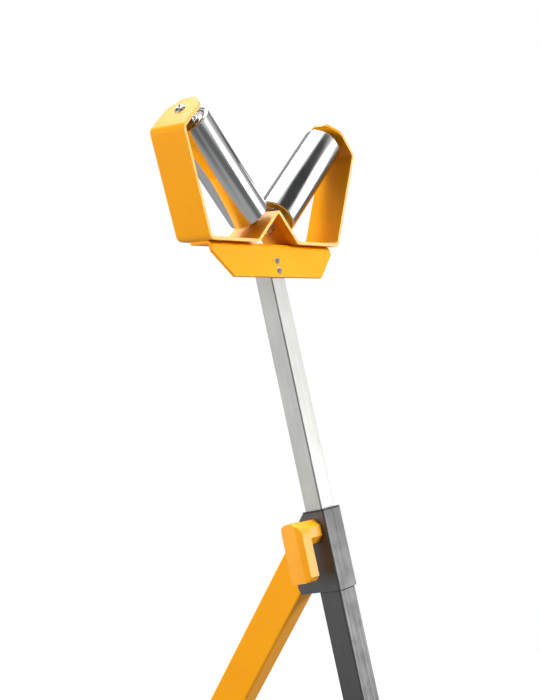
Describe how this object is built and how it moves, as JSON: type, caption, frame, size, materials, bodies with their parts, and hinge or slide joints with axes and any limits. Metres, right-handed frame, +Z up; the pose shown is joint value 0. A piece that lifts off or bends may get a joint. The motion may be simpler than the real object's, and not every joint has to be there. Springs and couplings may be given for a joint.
{
  "type": "roller stand",
  "caption": "Folding work stand with a pair of rollers set in a V on a height-adjustable square mast, held by a screw clamp with a lever.",
  "frame": {"origin": "on the ground, in the middle of the footprint", "axes": "+X along the cradle and the crossbars, +Y from the main leg's foot to the rear leg's foot, +Z up"},
  "size_m": [0.438, 0.5304, 1.0572],
  "materials": {
    "yellow_paint": "semi-gloss powder coat",
    "black_paint": "satin powder coat",
    "chrome_tube": "polished chrome plate",
    "zinc_tube": "drawn tube, zinc plated",
    "zinc_fasteners": "bright zinc plate",
    "bearing_steel": "ground steel",
    "black_plastic": "moulded nylon",
    "white_plastic": "acetal",
    "yellow_plastic": "moulded, soft gloss",
    "rubber": "matt moulded rubber",
    "brass": "turned"
  },
  "bodies": {
    "main_frame": {"main_leg": "black_paint", "front_crossbar": "black_paint", "front_left_foot": "rubber", "front_right_foot": "rubber", "collar_housing": "black_paint", "mast_bush": "black_plastic", "clamp_nut": "black_paint", "pivot_bolt": "zinc_fasteners", "pivot_nut": "zinc_fasteners", "pivot_washers": "white_plastic"},
    "rear_frame": {"rear_leg": "yellow_paint", "rear_crossbar": "yellow_paint", "rear_left_foot": "rubber", "rear_right_foot": "rubber", "pivot_bush": "zinc_fasteners"},
    "pressure_pad": {"clamp_pad": "brass"},
    "lever": {"clamp_screw": "zinc_fasteners", "clamp_lever": "yellow_plastic"},
    "head": {"mast": "zinc_tube", "mast_glide": "black_plastic", "saddle_plate": "yellow_paint", "saddle_bolts": "zinc_fasteners", "saddle_nuts": "zinc_fasteners", "cradle": "yellow_paint", "left_axle_bolt": "zinc_fasteners", "right_axle_bolt": "zinc_fasteners", "left_axle_nut": "zinc_fasteners", "right_axle_nut": "zinc_fasteners", "left_axle_washer": "zinc_fasteners", "right_axle_washer": "zinc_fasteners", "left_axle_spacers": "zinc_fasteners", "right_axle_spacers": "zinc_fasteners"},
    "left_roller": {"left_roller_tube": "chrome_tube", "left_roller_caps": "zinc_fasteners", "left_roller_bearings": "bearing_steel"},
    "right_roller": {"right_roller_tube": "chrome_tube", "right_roller_caps": "zinc_fasteners", "right_roller_bearings": "bearing_steel"}
  },
  "joints": [
    {"name": "mast_slide", "type": "slide", "parent": "main_frame", "child": "head", "axis": [0, 0.2419, 0.9703], "range_m": [-0.2767, 0]},
    {"name": "left_roller_spin", "type": "hinge", "parent": "head", "child": "left_roller", "pos_m": [0, -0.01885, 0.9092], "axis": [-0.7071, 0, 0.7071], "continuous": true},
    {"name": "right_roller_spin", "type": "hinge", "parent": "head", "child": "right_roller", "pos_m": [0, -0.01885, 0.9092], "axis": [0.7071, 0, 0.7071], "continuous": true},
    {"name": "clamp_travel", "type": "slide", "parent": "main_frame", "child": "pressure_pad", "axis": [-1, 0, 0], "range_m": [0, 0.000375]},
    {"name": "lever_turn", "type": "hinge", "parent": "pressure_pad", "child": "lever", "pos_m": [0, -0.09891, 0.5644], "axis": [-1, 0, 0], "range_deg": [0, 90]},
    {"name": "leg_fold", "type": "hinge", "parent": "main_frame", "child": "rear_frame", "pos_m": [0, -0.08433, 0.51954], "axis": [-1, 0, 0], "range_deg": [0, 46]}
  ],
  "couplings": [
    {"joint": "clamp_travel", "follows": "lever_turn", "m_per_rad": 0.00023873}
  ]
}
